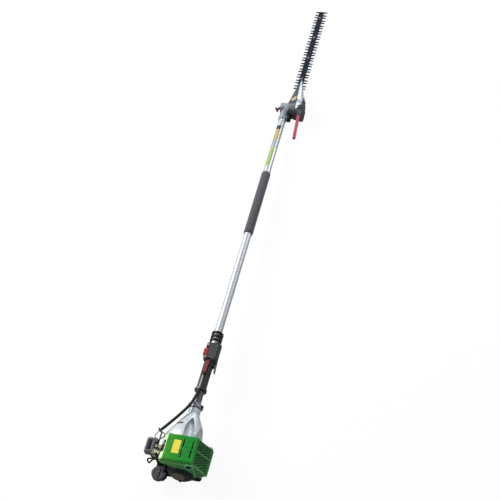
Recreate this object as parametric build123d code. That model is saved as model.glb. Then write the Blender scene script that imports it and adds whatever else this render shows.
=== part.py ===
# Long-reach petrol hedge trimmer with a tilting cutter head, built piece by piece.
# Lengths in mm. Pieces are drawn with the tube along X, left along Y and the engine cover up Z.
import os
from math import atan2, cos, degrees, hypot, pi, radians, sin
from build123d import *

# Fits shared by every piece
run_gap = 0.05
pass_gap = 0.4

# Tube and drive shaft
tube_d = 28.0
tube_wall = 1.5
tube_rear = 165.0
tube_front = 1588.0
shaft_d = 8.0
bush_count = 6
bush_length = 16.0

# Foam grip, harness hanger and throttle handle along the tube
foam_rear = 955.0
foam_length = 306.0
foam_d = 36.0
hanger_rear = 463.0
hanger_length = 36.0
eye_r = 5.0
eye_thick = 6.0
eye_depth = 34.0
handle_rear = 259.0
grip_length = 116.0
grip_d = 35.0
head_length = 76.0
trigger_turn = 12.0
lock_turn = 5.0
switch_travel = 8.0

# Engine
bore_d = 36.0
stroke = 26.0
rod_length = 50.0
cylinder_x = -10.0
cylinder_top = 92.0
case_rear = -42.0
case_front = 25.0
bearing_id = 12.0
bearing_od = 28.0
bearing_width = 8.0
flywheel_r = 50.0
drum_inner_r = 31.0
wall = 2.5

# Fan housing cone
cone_base_r = 72.0
cone_base_x = 66.0
cone_top_r = 21.5
cone_top_x = 166.0
collar_x = 186.0
flat_right = -45.0
flat_x = 49.0

# Green cover and muffler guard
cover_rear = -57.0
cover_front = 40.0
cover_left = 44.0
cover_right = -70.0
cover_top = 100.0
guard_front = 32.0
guard_right = -111.0
guard_low = 38.0
slot_width = 5.0
pipe_r = 9.0
pipe_y = -57.0
pipe_z = 74.0

# Air filter
filter_x = 0.0
filter_low = 46.0

# Starter
starter_r = 45.0
starter_y = -19.0
starter_z = 2.0
starter_rear = -66.0
rope_reach = 16.0
rope_x = -51.0
pull_travel = 600.0

# Fuel tank
tank_depth = 108.0
tank_rear = -20.0
tank_front = 72.0
tank_left = 92.0
tank_right = -60.0
tank_top = -60.0
tank_wall = 3.0
neck_x = -36.5
neck_y = 75.0
cap_r = 24.5
cap_top = -54.0
cap_low = -71.0

# Cutter head
pivot_x = 1615.0
drum_r = 46.0
drum_left_r = 36.0
drum_right = -70.0
drum_left = -17.0
hub_r = 20.0
crank_y = -44.0
pinion_r = 10.0
ring_gear_r = 20.0
gear_ratio = 3.0
crank_throw = 8.5
nose_tip = 1786.0
nose_low = -14.0

# Blades
blade_y = -25.0
blade_tip = 2236.0
tooth_pitch = 34.0
tooth_long = 15.5
bar_half = 10.0
blade_thick = 2.2
bar_thick = 4.0
blade_gap = 0.2
bolt_count = 4
bolt_r = 3.0
bolt_from_tip = 46.0
bolt_from_nose = 21.5
nut_r = 5.5

cross_r = ring_gear_r / gear_ratio
tube_r = tube_d / 2
shaft_r = shaft_d / 2
bore_r = bore_d / 2
crank_r = stroke / 2
upper_top = nose_low - bar_thick - blade_gap
lower_top = upper_top - blade_thick - blade_gap
bolt_pitch = (blade_tip - bolt_from_tip - nose_tip - bolt_from_nose) / (bolt_count - 1)
nut_low = lower_top - blade_thick - 3.3
handle_head = handle_rear + grip_length
handle_end = handle_head + head_length

# Rest: the tank base and the nut nearest the blade tip lie on the floor
rest_pitch = degrees(atan2(tank_depth + nut_low, blade_tip - bolt_from_tip + nut_r))
rest = Rot(0, rest_pitch, 0) * Pos(0, 0, tank_depth)


# Plain shapes
def block(x0, x1, y0, y1, z0, z1):
    return Pos((x0 + x1) / 2, (y0 + y1) / 2, (z0 + z1) / 2) * Box(x1 - x0, y1 - y0, z1 - z0)


def rod_x(r, x0, x1, y=0.0, z=0.0):
    return Pos((x0 + x1) / 2, y, z) * Rot(0, 90, 0) * Cylinder(r, x1 - x0)


def rod_y(r, y0, y1, x=0.0, z=0.0):
    return Pos(x, (y0 + y1) / 2, z) * Rot(90, 0, 0) * Cylinder(r, y1 - y0)


def rod_z(r, z0, z1, x=0.0, y=0.0):
    return Pos(x, y, (z0 + z1) / 2) * Cylinder(r, z1 - z0)


def rod_to(r, a, b):
    a, b = Vector(*a), Vector(*b)
    return Plane(origin=a, z_dir=b - a) * Pos(0, 0, (b - a).length / 2) * Cylinder(r, (b - a).length)


def ring_x(outer, inner, x0, x1):
    return rod_x(outer, x0, x1) - rod_x(inner, x0 - 1, x1 + 1)


def turned_x(points):
    return revolve(make_face(Polyline(*points, close=True)), Axis.X)


def prism_x(points, x0, x1):
    return Pos(x0, 0, 0) * extrude(Plane.YZ * make_face(Polyline(*points, close=True)), x1 - x0)


def prism_y(points, y0, y1):
    return Pos(0, y1, 0) * extrude(Plane.XZ * make_face(Polyline(*points, close=True)), y1 - y0)


def prism_z(points, z0, z1):
    return Pos(0, 0, z0) * extrude(make_face(Polyline(*points, close=True)), z1 - z0)


def around(shape, angle):
    return Rot(angle, 0, 0) * shape


def group(shapes):
    return Compound([solid for shape in shapes for solid in shape.solids()])


def bored(shape, screws):
    for screw in screws:
        shape = shape - screw
    return shape


def upright(shape, limit=0.0):
    return [e for e in shape.edges() if abs((e @ 1 - e @ 0).normalized().Z) > 0.99 and e.length > limit]


# A bevel gear on +Z with its cone point at the origin; grooves stand for the teeth
def bevel(large_r, large_z, small_z, back_z, teeth, groove, backlash=0.0):
    small_r = large_r * small_z / large_z
    body = Pos(0, 0, (large_z + small_z) / 2) * Cone(small_r, large_r, large_z - small_z)
    body = body + rod_z(large_r, large_z, back_z)
    for i in range(teeth):
        turn = Rot(0, 0, 360 * i / teeth)
        start = (small_r * 0.8, 0, small_z * 0.8)
        body = body - turn * rod_to(groove, start, (large_r * 1.3, 0, large_z * 1.3))
    return Pos(0, 0, backlash) * body


# Tube line
def main_tube():
    return ring_x(tube_r, tube_r - tube_wall, tube_rear, tube_front)


def shaft_bushes():
    first, last = tube_rear + 40, tube_front - 20
    step = (last - first) / (bush_count - 1)
    places = [first + step * i for i in range(bush_count)]
    half = bush_length / 2
    return group([ring_x(tube_r - tube_wall, shaft_r + run_gap, x - half, x + half) for x in places])


def drive_shaft():
    pinion = bevel(pinion_r, pinion_r, pinion_r / 2, pinion_r + 3, 14, 0.9, 0.3)
    pinion = Pos(pivot_x, 0, 0) * Rot(0, -90, 0) * pinion
    return pinion + rod_x(shaft_r, 97, pivot_x - pinion_r)


def foam_grip():
    foam = ring_x(foam_d / 2, tube_r, foam_rear, foam_rear + foam_length)
    rims = foam.edges().filter_by(GeomType.CIRCLE).sort_by(SortBy.RADIUS)[-2:]
    return fillet(rims, 2.0)


def hanger_clamp():
    x0, x1 = hanger_rear, hanger_rear + hanger_length
    step = (hanger_length - 6) / 2
    body = block(x0, x1, -21, -12, -7, 7) + block(x0, x1, -4, 4, -21, -12)
    for i in range(3):
        body = body + rod_x(21, x0 + step * i, x0 + step * i + 6)
    mid = (x0 + x1) / 2
    lug = block(mid - 9, mid + 9, -eye_thick / 2, eye_thick / 2, -eye_depth, -15)
    lug = lug + rod_y(9, -eye_thick / 2, eye_thick / 2, mid, -eye_depth)
    body = body + lug - rod_y(eye_r, -20, 20, mid, -eye_depth) - rod_x(tube_r, x0 - 1, x1 + 1)
    return bored(body, hanger_bolts())


def hanger_bolts():
    places = [hanger_rear + 10.5, hanger_rear + hanger_length - 10.5]
    return [rod_z(2.5, -4, 7, x, -18) + rod_z(4.2, 7, 11, x, -18) for x in places]


# Throttle handle
def handle_body():
    grip = rod_x(grip_d / 2, handle_rear + 5, handle_head + 12)
    flange = rod_x(21.5, handle_rear, handle_rear + 8)
    head = block(handle_head, handle_end, -31, 22, -21, 24)
    head = fillet(head.edges(), 10.0) - handle_tuck()
    palm = Pos(handle_head + 2, -4, 0) * Rot(0, 90, 0) * Cone(17.5, 20, 34)
    body = grip + flange + head + palm
    body = body - rod_x(tube_r, handle_rear - 5, handle_end + 5)
    body = body - block(handle_rear + 62, handle_head + 22, -21, -tube_r - 0.2, -6, 6)
    body = body - block(handle_head - 22, handle_head + 38, -60, -tube_r - 0.2, -6, 6)
    body = body - block(handle_rear + 58, handle_head + 8, -7, 7, tube_r + 0.3, 40)
    body = body - block(handle_end - 58, handle_end - 20, 8, 40, 15, 40)
    return bored(body, handle_screws())


# What is cut away under the head's rear and right walls, which lean in to the tube
def handle_tuck():
    x = handle_head
    rear = prism_y([(x - 2, 10), (x + 22, -21.5), (x + 22, -30), (x - 2, -30)], -40, 40)
    side = prism_x([(-32, 10), (-19, -21.5), (-19, -30), (-32, -30)], x - 5, handle_end + 5)
    return rear + side


def handle_screws():
    screws = []
    for x, y in ((handle_rear + 4, 18.0), (handle_head + 10, 18.0), (handle_end - 12, -23.0)):
        top = 11.0 if x < handle_head else 24.0
        screws.append(rod_z(1.6, -6, top - 3, x, y) + rod_z(2.6, top - 3, top - 1, x, y))
    return screws


def trigger_pin():
    return handle_head + 16, -21.0


def lock_pin():
    return handle_head - 1, 18.0


def handle_shell_upper():
    shell = handle_body() & block(handle_rear - 5, handle_end + 5, -60, 60, 0, 60)
    x, z = lock_pin()
    return shell + rod_y(1.5, -7.5, 7.5, x, z)


def handle_shell_lower():
    shell = handle_body() & block(handle_rear - 5, handle_end + 5, -60, 60, -60, 0)
    x, y = trigger_pin()
    return shell + rod_z(2.0, -6.5, 5.8, x, y)


def throttle_trigger():
    x, y = trigger_pin()
    outline = [(x + 6, y + 4), (x + 7, y - 5), (x - 6, y - 7), (x - 50, y - 9.5), (x - 56, y - 8.5)]
    outline += [(x - 55, y - 6), (x - 42, y - 3.2), (x - 16, y - 1.5), (x - 5, y + 5)]
    lever = prism_z(outline, -5, 5)
    lever = fillet(upright(lever), 1.0)
    return lever - rod_z(2.0 + run_gap, -9, 9, x, y)


def throttle_lock():
    x, z = lock_pin()
    outline = [(x + 3.5, z - 2.6), (x + 4, z + 2), (x - 6, z + 4.5), (x - 48, z + 8.5), (x - 54, z + 6.5)]
    outline += [(x - 52, z + 3), (x - 20, z + 0.2), (x - 3, z - 3)]
    return prism_y(outline, -6, 6) - rod_y(1.5 + run_gap, -9, 9, x, z)


def stop_switch():
    x = handle_end - 57
    knob = block(x, x + 26.5, 8.8, 24.5, 15.4, 25.5)
    knob = fillet(knob.edges().group_by(Axis.Z)[-1], 2.5)
    for i in range(3):
        knob = knob + rod_y(1.8, 10, 23, x + 7 + 6 * i, 25)
    return knob


# Cable cover from the handle foot round the housing to the carburettor bracket
def conduit_path():
    points = [(handle_rear, 2, 19.5), (handle_rear - 21, 2, 19.5), (165, 15, 38), (62, 75, 60)]
    runs = [(Vector(*b) - Vector(*a)) for a, b in zip(points, points[1:])]
    bends = []
    for i in range(len(runs) - 1):
        half = radians(runs[i].get_angle(runs[i + 1])) / 2
        bends.append(0.45 * min(runs[i].length, runs[i + 1].length) / max(abs(sin(half) / cos(half)), 0.01))
    return points, bends


def throttle_conduit():
    points, bends = conduit_path()
    line = FilletPolyline(*points, radius=min(bends))
    section = Plane(origin=points[0], z_dir=Vector(*points[1]) - Vector(*points[0])) * Circle(5.0)
    cover = sweep(section, path=line)
    share = cover.volume / (25 * pi * line.length)
    print("conduit radius", round(min(bends), 1), "share of volume", round(share, 4))
    return cover


def cable_bracket():
    points, _ = conduit_path()
    end = Vector(*points[-1])
    way = (end - Vector(*points[-2])).normalized()
    tab = Plane(origin=end, x_dir=Vector(way.Y, -way.X, 0), z_dir=way) * Pos(0, 0, 1) * Box(16, 16, 2)
    strip = block(cylinder_x + 16, end.X - 4, end.Y - 7, end.Y - 5, end.Z - 6, end.Z + 4)
    return strip + tab - rod_to(1.5, tuple(end - way * 5), tuple(end + way * 8))


# Front of the engine
def fan_housing():
    rim = (cone_base_x + 8, cone_base_r - 2.5)
    slope = (rim[1] - cone_top_r) / (cone_top_x - rim[0])
    inside = cone_top_r + slope * (cone_top_x - 150) - 3.6
    outside = [(case_front, cone_base_r), (cone_base_x, cone_base_r), rim, (cone_top_x, cone_top_r)]
    outline = outside + [(collar_x, cone_top_r), (collar_x, tube_r), (tube_rear, tube_r), (tube_rear, 12.6)]
    outline += [(92, 12.6), (92, bearing_od / 2), (82, bearing_od / 2), (82, 18.5), (150, 18.5), (150, inside)]
    outline += [(rim[0], rim[1] - 3.8), (cone_base_x - 1.5, cone_base_r - 3), (case_front, cone_base_r - 3)]
    full = turned_x(outside + [(cone_top_x, 0), (case_front, 0)])
    side = block(flat_x - 3, 130, flat_right, flat_right + 3, -90, 90)
    side = side + block(flat_x - 3, flat_x, -90, flat_right + 3, -90, 90)
    body = turned_x(outline) - block(flat_x, 200, -100, flat_right, -90, 90) + (full & side)
    body = body + ((recess(2.5) & full) - recess_floor(2.5)) - (recess(0) - recess_floor(0))
    window = prism_z([(144, -3), (144, 3), (64, 27), (64, -27)], 20, 110)
    body = body - around(fillet(upright(window), 2.5), 200)
    body = body - block(90, 126, -60, -35, 8, 14) + fan_outlet()
    notch = around(block(170, 180, -2.5, 2.5, 17, 30), -35)
    return bored(body - notch, housing_screws())


# The blind scoop in the cone's upper right, and the turned floor that it stops at
def recess(grow):
    left = [(138 + grow, 2.5 + grow), (123 + grow, 9.4 + grow), (108, 15.4 + grow), (92, 19.5 + grow)]
    right = [(88, -15.5 - grow), (116 + grow, -9.4 - grow), (138 + grow, -2.5 - grow)]
    outline = left + [(50 - grow, 20.5 + grow), (50 - grow, -17 - grow)] + right
    return around(fillet(upright(prism_z(outline, 15, 110)), 2.5 + grow), 21)


def recess_floor(drop):
    return turned_x([(40, 0), (40, 59.6 - drop), (150, 20 - drop), (150, 0)])


def fan_outlet():
    outlet = block(guard_front + 1, flat_x, -102, -56, -12, 24)
    outlet = fillet([e for e in outlet.edges() if abs((e @ 1 - e @ 0).normalized().X) > 0.99], 8.0)
    pocket = block(guard_front + 4, flat_x - 3, -99, -50, -8, 20) - rod_x(cone_base_r - 3, 0, 100)
    return outlet - rod_x(cone_base_r - 1.5, 0, 100) - pocket


def housing_screws():
    spots = [(cos(radians(a)), sin(radians(a))) for a in (45, 135, 225, 315)]
    r = cone_base_r - 1.5
    return [rod_x(1.2, case_front - 5, case_front + 8, r * y, r * z) for y, z in spots]


def damper_ring():
    return ring_x(20.5, tube_r, collar_x, collar_x + 5)


def tube_clamp():
    x0, x1 = collar_x + 5, collar_x + 21
    body = rod_x(20.5, x0, x1) + around(block(x0, x1, -26, 26, -6, 6), 12)
    body = body - rod_x(tube_r, x0 - 1, x1 + 1) - around(block(x0 - 1, x1 + 1, -40, 40, -0.6, 0.6), 12)
    return group([bored(body, collar_bolts())])


def collar_bolts():
    x = collar_x + 13
    return [around(rod_z(2.5, -6, 6, x, y) + rod_z(4.2, 6, 10, x, y), 12) for y in (-21.5, 21.5)]


def ball_bearings():
    starts = (case_rear + 4, case_front - 17, 83)
    outer, inner = bearing_od / 2, bearing_id / 2 + run_gap
    return group([ring_x(outer, inner, x, x + bearing_width) for x in starts])


def clutch_drum():
    outer = drum_inner_r + 3
    outline = [(46, drum_inner_r), (46, outer), (73, outer), (73, bearing_id / 2), (120, bearing_id / 2)]
    outline += [(120, shaft_r), (97, shaft_r), (97, 0), (70, 0), (70, drum_inner_r)]
    return turned_x(outline)


def clutch_shoes():
    hub = ring_x(13, bearing_id / 2, 46, 60)
    pad = ring_x(drum_inner_r - 1.5, 13, 47, 60)
    gap = block(40, 70, -5, 5, -60, 60)
    return group([hub, *(pad - gap).solids()])


def flywheel():
    body = rod_x(flywheel_r, case_front + 2, case_front + 10) + rod_x(12, case_front + 2, 45)
    for i in range(14):
        fin = block(case_front + 9, 44, -1.5, 1.5, 30, flywheel_r - 0.5)
        body = body + around(fin, 360 * i / 14)
    return body - rod_x(bearing_id / 2, 0, 100)


# Engine block
def crankcase():
    body = block(case_rear, case_front - 5, -38, 28, -46, 36)
    body = fillet([e for e in body.edges() if abs((e @ 1 - e @ 0).normalized().X) > 0.99], 6.0)
    body = body + rod_x(cone_base_r, case_front - 5, case_front)
    body = body + rod_x(starter_r, case_rear, case_rear + 4, starter_y, starter_z)
    body = body - rod_x(25.5, cylinder_x - 16, cylinder_x + 16) - rod_z(bore_r + 0.4, 0, 40, cylinder_x, 0)
    seat = bearing_od / 2
    body = body - rod_x(seat, case_rear + 4, cylinder_x) - rod_x(seat, cylinder_x, case_front - 9)
    body = body - rod_x(8, case_rear - 5, case_front + 5)
    return bored(body, housing_screws() + starter_screws())


def cylinder():
    body = rod_z(24, 36, cylinder_top, cylinder_x, 0)
    body = body + block(cylinder_x - 28, cylinder_x + 28, -30, 28, 36, 40)
    for i in range(8):
        z = 43 + 6.4 * i
        body = body + block(cylinder_x - 28, cylinder_x + 28, -36, 36, z, z + 2.2)
    body = body + block(cylinder_x - 15, cylinder_x + 15, -40, 40, 46, 68)
    body = body - rod_z(bore_r, 30, 82, cylinder_x, 0) - rod_z(6, 80, 88, cylinder_x, 0)
    body = body - rod_y(7, -45, 0, cylinder_x, 56) - rod_y(7, 0, 45, cylinder_x, 57)
    return body - rod_y(9, -60, -24, cylinder_x, 86) - rod_y(5, -30, 0, cylinder_x, 86)


def spark_plug():
    shank = rod_y(5, -24, -8, cylinder_x, 86) + rod_y(4.5, -56, -30, cylinder_x, 86)
    hexagon = Pos(cylinder_x, -24, 86) * Rot(90, 0, 0) * extrude(RegularPolygon(8, 6), 8)
    return shank + hexagon


def plug_boot():
    boot = rod_y(7, -64, -38, cylinder_x, 86) - rod_y(4.5, -56, -30, cylinder_x, 86)
    lead = rod_x(3.5, cylinder_x + 5, cylinder_x + 40, -60, 86)
    return boot + lead


def crankshaft():
    pin = cylinder_x
    body = rod_x(bearing_id / 2, -46, pin - 5) + rod_x(bearing_id / 2, pin + 5, 62)
    body = body + rod_x(22, pin - 13, pin - 5) + rod_x(22, pin + 5, pin + 13)
    stubs = rod_x(5, pin - 6, pin - 4.5, 0, crank_r) + rod_x(5, pin + 4.5, pin + 6, 0, crank_r)
    dogs = rod_x(17, -46, -43)
    return group([body - rod_x(30, pin - 5, pin + 5) + stubs + dogs])


def piston():
    pin_z = crank_r + rod_length
    body = rod_z(bore_r - 0.1, pin_z - 13, pin_z + 13, cylinder_x, 0)
    body = body - rod_z(bore_r - 3.5, pin_z - 14, pin_z + 8, cylinder_x, 0)
    return body + rod_x(4.5, cylinder_x - 16, cylinder_x + 16, 0, pin_z)


def connecting_rod():
    x0, x1 = cylinder_x - 4, cylinder_x + 4
    top = crank_r + rod_length
    body = rod_x(9.5, x0, x1, 0, crank_r) + rod_x(8, x0, x1, 0, top)
    body = body + block(x0 + 1, x1 - 1, -4, 4, crank_r, top)
    return body - rod_x(5.5, x0 - 2, x1 + 2, 0, crank_r) - rod_x(4.5, x0 - 2, x1 + 2, 0, top)


# Exhaust side and green covers
def muffler():
    can = fillet(block(-37, 16, -92, -44, 20, 64).edges(), 8.0)
    flange = block(cylinder_x - 15, cylinder_x + 15, -46, -40, 46, 68)
    box = fillet(block(-52, -28, pipe_y - 12, pipe_y + 12, 40, pipe_z + 12).edges(), 3.0)
    pipe = rod_x(pipe_r, cover_rear - 4, -45, pipe_y, pipe_z)
    body = can + flange + box + pipe
    inside = fillet(block(-35, 14, -90, -46, 22, 62).edges(), 6.0)
    inside = inside + block(-50, -30, pipe_y - 10, pipe_y + 10, 42, pipe_z + 10)
    body = body - inside - rod_x(pipe_r - 1.5, cover_rear - 10, -40, pipe_y, pipe_z)
    return body - rod_y(7, -60, -30, cylinder_x, 56)


def engine_cover():
    left, right, top = cover_left, cover_right, cover_top
    outline = [(left, 70), (left, top - 12), (left - 12, top), (right, top), (right, -4), (-40, 20), (8, 56)]
    body = prism_x(outline, cover_rear, cover_front)
    rims = [e for e in body.edges() if (e @ 0.5).Z > top - 0.01 and abs((e @ 1 - e @ 0).normalized().Y) > 0.9]
    rims += [e for e in body.edges() if top - 12 < (e @ 0.5).Z < top - 1 and abs((e @ 1 - e @ 0).Y) > 5]
    rims += [e for e in body.edges() if (e @ 0.5).Y > left - 0.1 and abs((e @ 1 - e @ 0).normalized().Z) > 0.9]
    body = fillet(rims, 7.0)
    room = [(left - wall, -40), (left - wall, top - 13), (left - 13, top - wall), (right - 9, top - wall)]
    room += [(right - 9, -40)]
    inside = prism_x(room, cover_rear + wall, cover_front - wall)
    body = body - inside - rod_x(starter_r + 1, -90, -30, starter_y, starter_z) - rod_x(cone_base_r + 1, 0, 70)
    for y, half in ((-27, 36.0), (-58, 34.0)):
        for centre in (-9 - half / 2, -9 + half / 2):
            body = body - Pos(centre, y, top) * extrude(SlotOverall(half - 3, slot_width), 12, both=True)
    body = body - rod_y(25, 30, 60, cylinder_x, 53) - rod_x(pipe_r + 1.3, -70, -40, pipe_y, pipe_z)
    return body - block(cylinder_x - 18, cylinder_x + 24, 33, 60, 20, top + 1)


def muffler_guard():
    right, top, low = guard_right, cover_top, guard_low
    start = cover_right - 0.4
    run, drop = right - start, low - top
    length = hypot(run, drop)
    nrm = Vector(0, drop / length, -run / length)
    outline = [(start, top - 1), (start - 2, top - 1), (right, low), (right, 24), (right + 25, 6), (start, 6)]
    body = prism_x(outline, cover_rear, guard_front)
    corner = low - wall * 0.55
    room = [(start + 8, top - 1 - wall), (start - 0.7, top - 1 - wall), (right + wall, corner)]
    room += [(right + wall, 25), (right + 24, 5), (right + 24, -40), (start + 8, -40)]
    body = body - prism_x(room, cover_rear + wall, guard_front - wall)
    face = Plane(origin=(0, (start + right) / 2, (top + low) / 2), x_dir=(1, 0, 0), z_dir=nrm)
    cells = []
    for row in range(7):
        for col in range(9):
            x = cover_rear + 8 + col * 9.2 + (4.6 if row % 2 else 0)
            if x < guard_front - 6 and abs(x - cylinder_x) > 5:
                cells.append(Pos(x, (row - 3) * 8.4) * RegularPolygon(3.7, 6, rotation=30))
    holes = face * extrude(Sketch() + cells, 9, both=True)
    rib = face * Pos(cylinder_x, 0, 0) * Box(4, length - 12, 3)
    body = body - holes + rib
    return body - rod_x(starter_r + 1, -90, -30, starter_y, starter_z) - rod_x(cone_base_r + 1, 0, 70)


# Intake side
def insulator_block():
    body = block(cylinder_x - 16, cylinder_x + 16, 40, 52, 42, 70)
    return body - rod_y(8, 30, 60, cylinder_x, 57)


def carburettor():
    x = cylinder_x
    body = fillet(block(x - 16, x + 16, 52, 74, 40, 69).edges(), 2.5)
    body = body + rod_z(10.8, 29, 44, x, 63) + rod_z(9, 68, 70.5, x, 63) + rod_y(11, 51.5, 74, x, 57)
    body = body - rod_y(8, 40, 80, x, 57) - rod_z(9.4, 20, 35, x, 63)
    return body - block(x - 60, x + 60, 40, 52, 0, 100) - rod_z(3 + run_gap, 60, 80, x, 63)


def throttle_arm():
    x = cylinder_x
    arm = rod_z(6, 71, 74, x, 63) + block(x - 3, x + 3, 63, 73, 71, 74) + rod_z(3, 71, 77, x, 73)
    return arm + rod_z(3, 64, 72, x, 63)


def filter_base():
    return block(filter_x - 28, filter_x + 28, 74, 79, filter_low, 70) - rod_y(8, 60, 90, cylinder_x, 57)


def filter_element():
    return block(filter_x - 22, filter_x + 22, 79, 92, filter_low + 3, 67)


def filter_cover():
    x = filter_x
    body = block(x - 29, x + 29, 79, 108, filter_low - 1, 72)
    body = fillet([e for e in body.edges() if (e @ 0.5).Y > 80], 9.0)
    room = block(x - 26.5, x + 26.5, 70, 105.5, filter_low + 1.5, 69.5)
    body = body - fillet([e for e in room.edges() if (e @ 0.5).Y > 80], 6.5)
    return body - block(x - 19, x + 19, 86, 101, 70.8, 80)


def choke_lever():
    x = cylinder_x - 16
    lever = rod_x(5, x - 4, x - 0.4, 63, 55) + block(x - 4, x - 1, 60.5, 65.5, 55, 70)
    return lever + rod_x(4, x - 8, x - 1, 63, 71)


def primer_bulb():
    dome = Pos(cylinder_x, 63, 27) * Sphere(9)
    return (dome & block(-60, 60, 0, 100, 0, 27)) + rod_z(9, 26.5, 30, cylinder_x, 63)


# Fuel system
def tub(x0, x1, y0, y1, top):
    body = block(x0, x1, y0, y1, -tank_depth - 12, top)
    body = fillet(upright(body), 9.0)
    return fillet(body.edges().group_by(Axis.Z)[-1], 5.0)


def tank_floor(lift):
    return Pos(0, 0, lift - tank_depth) * Rot(0, -rest_pitch, 0) * block(-200, 200, -200, 200, -80, 0)


def tank_room():
    w = tank_wall
    room = tub(tank_rear + w, tank_front - w, tank_right + w, tank_left - w, tank_top - w)
    room = room - rod_z(cap_r + 1 + w, cap_low - 0.9 - w, 0, neck_x, neck_y)
    throat = [(neck_x - 13, cap_low - 2), (neck_x - 13, cap_low - 5), (-20, -108), (-10, -108)]
    throat += [(-10, cap_low - 5)]
    room = room + prism_y(throat, neck_y - 13, neck_y + 13) - tank_floor(w)
    room = room - rod_x(cone_base_r + 1.5 + w, case_front - 7 - w, 120)
    return room + rod_z(cap_r - 10.5, cap_low - 5, 0, neck_x, neck_y)


def fuel_tank():
    body = tub(tank_rear, tank_front, tank_right, tank_left, tank_top)
    lobe = [(neck_x - 17, cap_low - 1), (neck_x - 17, cap_low - 8), (-24, -112), (0, -112), (0, cap_low - 1)]
    body = body + prism_y(lobe, neck_y - 17, neck_y + 17)
    body = body - tank_floor(0) - rod_z(cap_r + 1, cap_low - 0.9, -40, neck_x, neck_y)
    body = body + rod_z(cap_r - 4.5, cap_low - 3, cap_top - 5.5, neck_x, neck_y)
    body = body - rod_x(cone_base_r + 1.5, case_front - 7, 120)
    return body - tank_room() + block(-16, 12, -28, 28, tank_top - 1, -46)


def fuel_cap():
    body = rod_z(cap_r, cap_low, cap_top, neck_x, neck_y)
    body = body - rod_z(cap_r - 4.2, cap_low - 5, cap_top - 5, neck_x, neck_y)
    for i in range(18):
        a = 2 * pi * i / 18
        body = body - rod_z(1.6, cap_low + 1, cap_top + 2, neck_x + cap_r * cos(a), neck_y + cap_r * sin(a))
    return body + block(neck_x - 17, neck_x + 17, neck_y - 3.5, neck_y + 3.5, cap_top, cap_top + 3)


def hose(points, radius, bend):
    line = FilletPolyline(*points, radius=bend)
    section = Plane(origin=points[0], z_dir=Vector(*points[1]) - Vector(*points[0])) * Circle(radius)
    return sweep(section, path=line)


def fuel_lines():
    x = cylinder_x
    feed = [(x - 14, 64, 40), (x - 14, 64, 22), (x - 14, 107, 20), (x - 14, 107, -30), (x + 2, 84, -48)]
    feed += [(x + 2, 84, tank_top)]
    back = [(x + 14, 64, 40), (x + 14, 64, 0), (x + 18, 80, -30), (x + 18, 80, tank_top)]
    return group([hose(feed, 2.8, 11), hose(back, 2.8, 12)])


# Recoil starter; its cowl reaches further to the right than to the left of the crank
def starter_housing():
    rear, front, r = starter_rear, case_rear, starter_r
    outline = [(rear, 0), (rear, r - 14), (rear + 10, r), (front, r), (front, r - wall), (rear + 11, r - wall)]
    outline += [(rear + wall, r - 15), (rear + wall, 0)]
    body = turned_x(outline)
    for i in range(8):
        slot = Pos(24 - starter_r, 0, 0) * extrude(SlotOverall(16, 4.5), 5, both=True)
        slot = Pos(rear, 0, 0) * Rot(0, 90, 0) * slot
        body = body - around(slot, 36 * i + 18)
    body = Pos(0, starter_y, starter_z) * body + rod_x(6, rear + 1, rope_x + 4.4)
    for y, z in starter_spots():
        body = body + rod_x(6, rear + 2, front, y, z)
    body = body + rod_y(5.5, 18.5, 27, rope_x, rope_reach) - rod_y(2.5, 10, 60, rope_x, rope_reach)
    return bored(body, starter_screws())


def starter_spots():
    r = starter_r - 13
    return [(starter_y + cos(radians(a)) * r, starter_z + sin(radians(a)) * r) for a in (80, 180, 280)]


def starter_screws():
    rear, front = starter_rear + 2, case_rear + 4
    return [rod_x(2.0, rear, front, y, z) + rod_x(4, rear - 3, rear, y, z) for y, z in starter_spots()]


def starter_pulley():
    inner, core, rim = 6 + run_gap, rope_reach - 2, rope_reach + 4.5
    outline = [(-4.5, inner), (-4.5, rim), (-2.8, rim), (-2.2, core), (2.2, core), (2.8, rim), (4.5, rim)]
    return Pos(rope_x, 0, 0) * turned_x(outline + [(4.5, inner)])


def starter_rope():
    return rod_y(1.5, 0, 27.4, rope_x, rope_reach)


def starter_grip():
    bar = fillet(rod_x(6.5, rope_x - 14, rope_x + 14, 35.5, rope_reach).edges(), 3.0)
    return bar + rod_y(4.5, 27.4, 33, rope_x, rope_reach)


# Screws that share one size
def case_screws():
    return group(handle_screws() + starter_screws() + housing_screws())


def clamp_bolts():
    return group(hanger_bolts() + collar_bolts() + knuckle_bolts())


# Cutter head
def knuckle():
    px = pivot_x
    body = rod_x(17.5, tube_front - 36, px) + rod_y(25, drum_left + 1.5, 19, px, 0)
    body = body + block(tube_front - 35, tube_front - 14, -30, -14, -9, 9) + plunger(9, -6, 12)
    body = body - rod_x(tube_r, tube_front - 60, tube_front) - rod_x(12.5, tube_front - 60, px)
    body = body - rod_y(hub_r + run_gap, drum_left - 1, -9.5, px, 0) - rod_y(17, -10, 15, px, 0)
    body = body - block(tube_front - 13.9, px + 30, -40, drum_left + 1.5, -40, 40)
    body = body - block(tube_front - 60, tube_front - 13.9, -60, 0, -0.8, 0.8)
    body = body - plunger(3.2, -40, 30) - plunger(5, 12, 40)
    return bored(body, knuckle_bolts())


def plunger_line():
    return Vector(pivot_x - 8, 10, 17), Vector(-0.6, 0.8, 0)


def plunger(radius, start, end):
    point, way = plunger_line()
    return rod_to(radius, tuple(point + way * start), tuple(point + way * end))


def lock_knob():
    return plunger(10, 23.5, 29) + plunger(4.5, 12.5, 24) + plunger(3.0, 2, 13)


def knuckle_bolts():
    bolts = []
    for x in (tube_front - 30, tube_front - 19):
        bolts.append(rod_z(2.5, -9, 9, x, -24) + rod_z(4.2, 9, 13, x, -24))
    return bolts


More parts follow.
